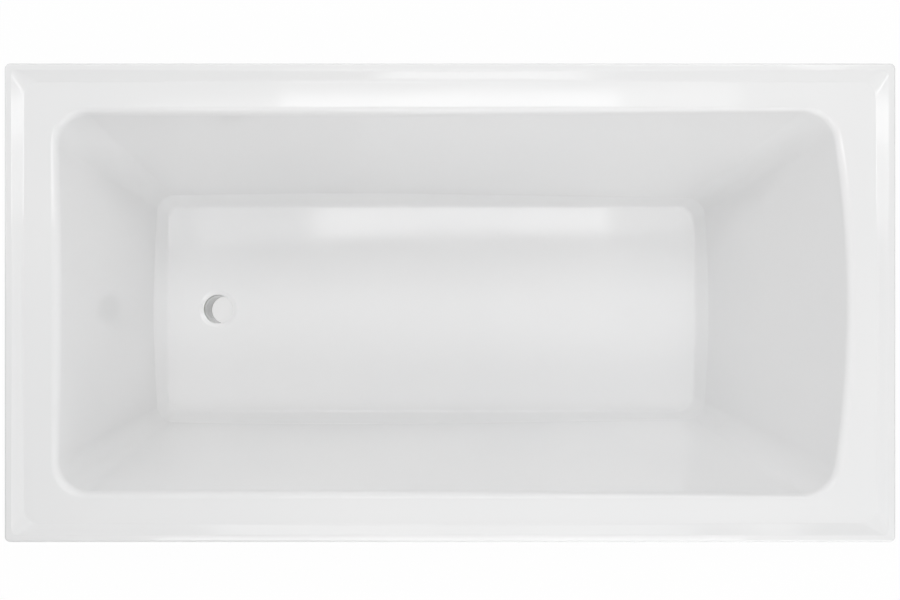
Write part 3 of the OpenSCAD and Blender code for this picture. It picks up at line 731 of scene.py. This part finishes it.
class BATHTUB_OT_battens(Operator):
    """Model the four rim battens with eased edges"""

    bl_idname = "bathtub.battens"
    bl_label = "Rim Battens"

    def execute(self, context):
        arris = context.scene.bath_fittings.arris
        for name in ("front", "back", "drain_end", "head_end"):
            low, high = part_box(name + "_batten")
            deselect_all()
            bpy.ops.mesh.primitive_cube_add(size=1.0, location=(low + high) / 2, scale=high - low)
            batten = active(name + "_timber")
            settle(batten)
            edit(batten, "EDGE")
            if name in ("front", "back"):
                side = high.y if name == "back" else low.y
                pick(batten, "edges", lambda edge: all(abs(v.co.y - side) < ON_SIDE for v in edge.verts)
                     and abs(edge.verts[0].co.x - edge.verts[1].co.x) < ON_SIDE)
                bpy.ops.mesh.bevel(offset=BATTEN_CORNER, segments=1, affect="EDGES")
            bpy.ops.mesh.select_all(action="SELECT")
            bpy.ops.mesh.bevel(offset=arris, segments=2, affect="EDGES")
            leave_edit()
            only(batten)
            bpy.ops.object.shade_smooth_by_angle(angle=TIMBER_SMOOTH)
            finish_with(batten, finish("pine_x" if name in ("front", "back") else "pine_y"))
            stand_for(batten, "tub", "batten", name + "_batten")
        return {"FINISHED"}


class BATHTUB_OT_board(Operator):
    """Give the base board its chips"""

    bl_idname = "bathtub.board"
    bl_label = "Base Board"

    def execute(self, context):
        finish_with(NODES["base_board"], finish("board"))
        return {"FINISHED"}


class BATHTUB_OT_outlet(Operator):
    """Give the waste outlet and its gasket their finishes"""

    bl_idname = "bathtub.outlet"
    bl_label = "Waste Outlet"

    def execute(self, context):
        finish_with(NODES["outlet_collar"], finish("outlet"))
        finish_with(NODES["outlet_gasket"], finish("rubber"))
        return {"FINISHED"}


class BATHTUB_OT_steelwork(Operator):
    """Give the leg rails and the wall brackets their spangled zinc"""

    bl_idname = "bathtub.steelwork"
    bl_label = "Rails and Brackets"

    def execute(self, context):
        for name in ("drain_leg_rail", "head_leg_rail", "drain_wall_bracket", "head_wall_bracket"):
            finish_with(NODES[name], finish("galvanised"))
        return {"FINISHED"}


class BATHTUB_OT_feet(Operator):
    """Give the feet, the lock nuts and the washers their finishes"""

    bl_idname = "bathtub.feet"
    bl_label = "Feet, Nuts and Washers"

    def execute(self, context):
        for leg in LEGS:
            finish_with(NODES[leg + "_foot"], finish("foot"))
        for name in ("upper_lock_nuts", "lower_lock_nuts", "leg_washers"):
            finish_with(NODES[name], finish("zinc"))
        return {"FINISHED"}


class BATHTUB_OT_studs(Operator):
    """Model one threaded stud and copy it to the four legs"""

    bl_idname = "bathtub.studs"
    bl_label = "Threaded Studs"

    def execute(self, context):
        sizes = context.scene.bath_fittings
        low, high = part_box(LEGS[0] + "_stud")
        centre, radius = (low + high) / 2, (high.x - low.x) / 2
        shoulder, core = low.z + sizes.spigot_length, radius - sizes.thread_depth
        deselect_all()
        bpy.ops.mesh.primitive_cylinder_add(vertices=32, radius=core, depth=high.z - shoulder,
                                            location=(centre.x, centre.y, (high.z + shoulder) / 2))
        shaft = active("stud_shaft")
        settle(shaft)
        edit(shaft)
        pick(shaft, "faces", lambda face: face.calc_center_median().z < shoulder + ON_FACE)
        bpy.ops.mesh.inset(thickness=core - sizes.spigot)
        bpy.ops.mesh.extrude_region_move(TRANSFORM_OT_translate={"value": (0, 0, -sizes.spigot_length)})
        bpy.ops.mesh.select_mode(type="EDGE")
        pick(shaft, "edges", lambda edge: all(v.co.z < low.z + ON_FACE or v.co.z > high.z - ON_FACE
                                              for v in edge.verts))
        bpy.ops.mesh.bevel(offset=STUD_CHAMFER, segments=2, affect="EDGES")
        leave_edit()
        pitch = sizes.thread_pitch
        turns = int((high.z - shoulder - 2 * pitch) / pitch)
        bpy.ops.mesh.primitive_plane_add(size=1.0, location=(0, 0, 0))
        ridge = active("stud_ridge")
        start, root, crest = shoulder + pitch, core - RIDGE_SINK, radius - RIDGE_CLEAR
        section = [(root, start - RIDGE_FOOT * pitch), (crest, start - RIDGE_CREST * pitch),
                   (crest, start + RIDGE_CREST * pitch), (root, start + RIDGE_FOOT * pitch)]
        edit(ridge, "VERT")
        mesh = bmesh.from_edit_mesh(ridge.data)
        mesh.faces.ensure_lookup_table()
        corners = [loop.vert for loop in mesh.faces[0].loops]
        for vert, (out, height) in zip(corners, section):
            vert.co = (out, 0.0, height)
        bmesh.update_edit_mesh(ridge.data)
        bpy.ops.mesh.select_all(action="SELECT")
        bpy.ops.mesh.delete(type="ONLY_FACE")
        leave_edit()
        apply_modifier(ridge, "SCREW", axis="Z", angle=2 * math.pi, steps=RIDGE_STEPS,
                       render_steps=RIDGE_STEPS, iterations=turns, screw_offset=pitch,
                       use_merge_vertices=False)
        end = start + turns * pitch
        for vert in ridge.data.vertices:
            out = math.hypot(vert.co.x, vert.co.y)
            taper = min(1.0, (vert.co.z - start + pitch / 2) / pitch, (end - vert.co.z + pitch / 2) / pitch)
            if out > core and taper < 1.0:
                kept = root + (out - root) * max(0.0, taper)
                vert.co.x, vert.co.y = vert.co.x * kept / out, vert.co.y * kept / out
        edit(ridge, "EDGE")
        bpy.ops.mesh.select_non_manifold()
        bpy.ops.mesh.fill_holes(sides=0)
        bpy.ops.mesh.select_all(action="SELECT")
        bpy.ops.mesh.normals_make_consistent(inside=False)
        leave_edit()
        only(ridge)
        bpy.ops.transform.translate(value=(centre.x, centre.y, 0.0))
        bpy.ops.object.transform_apply(location=True, rotation=False, scale=False)
        stud = join([shaft, ridge], LEGS[0] + "_threaded_stud")
        bpy.ops.object.shade_smooth_by_angle(angle=METAL_SMOOTH)
        finish_with(stud, finish("zinc"))
        studs = [stud]
        for leg in LEGS[1:]:
            studs.append(copy_at(stud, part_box(leg + "_stud")[0] - low, leg + "_threaded_stud"))
        for leg, piece in zip(LEGS, studs):
            stand_for(piece, leg + "_leg", "zinc", leg + "_stud")
        return {"FINISHED"}


class BATHTUB_OT_screws(Operator):
    """Model one wood screw with a crossed recess and copy it to every place"""

    bl_idname = "bathtub.screws"
    bl_label = "Wood Screws"

    def execute(self, context):
        sizes = context.scene.bath_fittings
        head_low, head_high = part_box("drain_rail_screws")
        radius = (head_high.x - head_low.x) / 2
        height, shank = head_high.z - head_low.z, sizes.screw_shank
        deselect_all()
        bpy.ops.mesh.primitive_cylinder_add(vertices=32, radius=radius, depth=sizes.screw_head,
                                            location=(0, 0, sizes.screw_head / 2))
        screw = active("wood_screw")
        settle(screw)
        edit(screw)
        pick(screw, "faces", lambda face: face.calc_center_median().z > sizes.screw_head - ON_FACE)
        bpy.ops.mesh.inset(thickness=radius - shank)
        tip = height - 2 * shank
        bpy.ops.mesh.extrude_region_move(TRANSFORM_OT_translate={"value": (0, 0, tip - sizes.screw_head)})
        bpy.ops.mesh.extrude_region_move(TRANSFORM_OT_translate={"value": (0, 0, height - tip)})
        bpy.ops.transform.resize(value=(POINT_SHARE, POINT_SHARE, 1.0))
        bpy.ops.mesh.select_mode(type="EDGE")
        pick(screw, "edges", lambda edge: all(v.co.z < ON_FACE for v in edge.verts))
        bpy.ops.mesh.bevel(offset=HEAD_BEVEL, segments=4, affect="EDGES")
        leave_edit()
        cutters = []
        for turn in (0.0, math.pi / 2):
            bpy.ops.mesh.primitive_cube_add(size=1.0, location=(0, 0, RECESS_PLACE), rotation=(0, 0, turn),
                                            scale=RECESS)
            blade = active("recess_blade")
            settle(blade)
            for vert in blade.data.vertices:
                if vert.co.z > 0:
                    vert.co.x, vert.co.y = vert.co.x * RECESS_TAPER, vert.co.y * RECESS_TAPER
            cutters.append(blade)
        for blade in cutters:
            apply_modifier(screw, "BOOLEAN", operation="DIFFERENCE", solver="EXACT", object=blade)
            bpy.data.objects.remove(blade)
        only(screw)
        bpy.ops.object.shade_smooth_by_angle(angle=METAL_SMOOTH)
        finish_with(screw, finish("zinc"))
        waste_low, waste_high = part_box("outlet_gasket")
        waste_x = (waste_low.x + waste_high.x) / 2
        ring = sizes.flange_screw_ring / math.sqrt(2)
        layouts = {"outlet_screws": [(waste_x + x, y) for x in (-ring, ring) for y in (-ring, ring)]}
        for name in ("drain_rail_screws", "head_rail_screws"):
            low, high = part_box(name)
            middle, outer, inner = (low.x + high.x) / 2, high.y - radius, sizes.screw_inner
            layouts[name] = [(middle, y) for y in (-outer, -inner, inner, outer)]
        low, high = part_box("bracket_screws")
        bracket_low, bracket_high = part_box("drain_wall_bracket")
        step = (bracket_high.x - bracket_low.x) / 4
        middle, back = high.x - radius - step, (low.y + high.y) / 2
        layouts["bracket_screws"] = [(side * middle + x, back) for side in (-1, 1) for x in (-step, step)]
        for name, places in layouts.items():
            low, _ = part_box(name)
            copies = [copy_at(screw, (x, y, low.z), f"{name}_{i}") for i, (x, y) in enumerate(places)]
            group = join(copies, name.replace("_screws", "_cross_head_screws"))
            stand_for(group, "tub", "zinc", name)
        bpy.data.objects.remove(screw)
        return {"FINISHED"}


def softbox(name, place, aim, size, radiance):
    """A rectangular lamp of that size and brightness, turned to a point."""
    lamp = bpy.data.lights.new(name, "AREA")
    lamp.shape = "RECTANGLE"
    lamp.size, lamp.size_y = size
    lamp.energy = radiance * math.pi * size[0] * size[1]
    holder = bpy.data.objects.new(name, lamp)
    bpy.context.scene.collection.objects.link(holder)
    holder.location = place
    holder.rotation_euler = (Vector(aim) - Vector(place)).to_track_quat("-Z", "Y").to_euler()
    holder.visible_camera = False


# Name, place, point it faces, width and height, and brightness of each softbox
SOFTBOXES = (
    ("wide_overhead_softbox", (-0.05, 0.84, 4.0), (-0.03, 0.36, 0.49), (3.0, 0.63), 1.26),
    ("narrow_overhead_softbox", (0.0, 0.84, 3.95), (0.0, 0.36, 0.49), (1.7, 0.63), 2.29),
    ("front_overhead_softbox", (0.0, -1.35, 4.0), (0.0, 0.0, 0.45), (3.0, 0.5), 3.86),
    ("high_front_softbox", (0.7, -1.9, 2.9), (0.2, 0.0, 0.3), (2.6, 0.6), 2.88),
    ("high_back_softbox", (0.0, 1.9, 2.9), (0.0, 0.0, 0.3), (3.8, 0.6), 1.87),
    ("high_head_softbox", (2.3, 0.0, 2.6), (0.0, 0.0, 0.3), (2.4, 0.6), 0.72),
    ("back_head_softbox", (0.9, 1.35, 1.9), (0.0, 0.0, 0.3), (1.2, 0.8), 1.45),
    ("front_softbox", (0.6, -1.8, 1.15), (0.2, 0.0, 0.45), (1.6, 1.1), 1.72),
    ("back_softbox", (0.0, 1.9, 1.15), (0.0, 0.0, 0.45), (2.2, 1.1), 0.78),
    ("drain_softbox", (-1.8, 0.58, 1.15), (0.0, 0.3, 0.45), (0.8, 1.2), 1.30),
)


def backdrop_rays(tree):
    """1 for the rays that see the backdrop: from the camera, off gloss and through glass."""
    path = tree.nodes.new("ShaderNodeLightPath")
    seen = path.outputs["Is Camera Ray"]
    for other in ("Is Glossy Ray", "Is Transmission Ray"):
        either = tree.nodes.new("ShaderNodeMath")
        either.operation = "MAXIMUM"
        tree.links.new(seen, either.inputs[0])
        tree.links.new(path.outputs[other], either.inputs[1])
        seen = either.outputs[0]
    return seen


class BATHTUB_OT_stage(Operator):
    """Set up the camera, the pale floor, the white surroundings and the soft lamps"""

    bl_idname = "bathtub.stage"
    bl_label = "Stage"

    def execute(self, context):
        stage, scene = context.scene.bath_stage, context.scene
        lens = bpy.data.cameras.new("photo_camera")
        lens.lens, lens.sensor_width, lens.shift_y = stage.lens, SENSOR, stage.shift
        lens.clip_end = VIEW_REACH
        camera = bpy.data.objects.new("photo_camera", lens)
        camera.location = (0.0, -stage.camera_y, stage.camera_height)
        scene.collection.objects.link(camera)
        scene.camera = camera
        scene.view_settings.view_transform = "Standard"
        deselect_all()
        bpy.ops.mesh.primitive_plane_add(size=FLOOR_SIDE, location=(0, 0, 0))
        floor = active("studio_floor")
        floor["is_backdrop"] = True
        made = Finish("studio_floor", Roughness=0.9)
        mottle = made.span(made.noise(0.8, detail=2.0), 0.3, 0.7)
        made.colour(made.blend(mottle, tuple(stage.floor), tuple(0.985 * c for c in stage.floor)))
        own = made.node("Emission", {"Color": (1, 1, 1, 1), "Strength": 1.0})
        place = made.node("SeparateXYZ", {"Vector": made.coordinates}).outputs
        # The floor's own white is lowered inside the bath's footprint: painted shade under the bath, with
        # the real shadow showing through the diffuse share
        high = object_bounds()[1]
        out_x = made.span(made.math("ABSOLUTE", place["X"]), high.x - FLOOR_FADE, high.x)
        out_y = made.span(made.math("ABSOLUTE", place["Y"]), high.y - FLOOR_FADE, high.y)
        out = made.math("MAXIMUM", out_x, out_y)
        white = made.span(out, 0.0, 1.0, stage.painted_shade_backdrop, stage.backdrop)
        part = made.math("MULTIPLY", backdrop_rays(made.tree), white)
        mix = made.node("MixShader", {0: part, 1: made.shader.outputs["BSDF"], 2: own.outputs["Emission"]})
        made.tree.links.new(mix.outputs[0], made.output.inputs["Surface"])
        finish_with(floor, made.material)
        world = bpy.data.worlds.new("studio_sky")
        scene.world = world
        world.use_nodes = True
        tree = world.node_tree
        tree.nodes.clear()
        light, seen = tree.nodes.new("ShaderNodeBackground"), tree.nodes.new("ShaderNodeBackground")
        for background, strength in ((light, stage.sky), (seen, 1.0)):
            background.inputs["Color"].default_value = (1, 1, 1, 1)
            background.inputs["Strength"].default_value = strength
        mixed, output = tree.nodes.new("ShaderNodeMixShader"), tree.nodes.new("ShaderNodeOutputWorld")
        tree.links.new(backdrop_rays(tree), mixed.inputs[0])
        tree.links.new(light.outputs[0], mixed.inputs[1])
        tree.links.new(seen.outputs[0], mixed.inputs[2])
        tree.links.new(mixed.outputs[0], output.inputs["Surface"])
        for name, place, aim, size, radiance in SOFTBOXES:
            softbox(name, place, aim, size, radiance)
        return {"FINISHED"}


STEPS = (BATHTUB_OT_stage, BATHTUB_OT_shell, BATHTUB_OT_battens, BATHTUB_OT_board, BATHTUB_OT_outlet,
         BATHTUB_OT_steelwork, BATHTUB_OT_feet, BATHTUB_OT_studs, BATHTUB_OT_screws)


class BATHTUB_PT_dressing(Panel):
    """The steps that dress the bathtub, and their sizes and colours"""

    bl_label = "Bathtub"
    bl_idname = "BATHTUB_PT_dressing"
    bl_space_type = "VIEW_3D"
    bl_region_type = "UI"
    bl_category = "Bathtub"

    def draw(self, context):
        for step in STEPS:
            self.layout.operator(step.bl_idname)
        for group in GROUPS:
            box = self.layout.box()
            box.label(text=group.__doc__)
            for key in group.__annotations__:
                box.prop(getattr(context.scene, GROUPS[group]), key)


GROUPS = {BathForm: "bath_form", BathFinish: "bath_finish", BathFittings: "bath_fittings",
          BathStage: "bath_stage"}


def register():
    for group, name in GROUPS.items():
        bpy.utils.register_class(group)
        setattr(bpy.types.Scene, name, PointerProperty(type=group))
    for part in (*STEPS, BATHTUB_PT_dressing):
        bpy.utils.register_class(part)


def unregister():
    for part in (BATHTUB_PT_dressing, *reversed(STEPS)):
        bpy.utils.unregister_class(part)
    for group, name in GROUPS.items():
        delattr(bpy.types.Scene, name)
        bpy.utils.unregister_class(group)


def main():
    register()
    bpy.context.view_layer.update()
    bpy.ops.bathtub.stage()
    bpy.ops.bathtub.shell()
    bpy.ops.bathtub.battens()
    bpy.ops.bathtub.board()
    bpy.ops.bathtub.outlet()
    bpy.ops.bathtub.steelwork()
    bpy.ops.bathtub.feet()
    bpy.ops.bathtub.studs()
    bpy.ops.bathtub.screws()


if __name__ == "__main__":
    main()
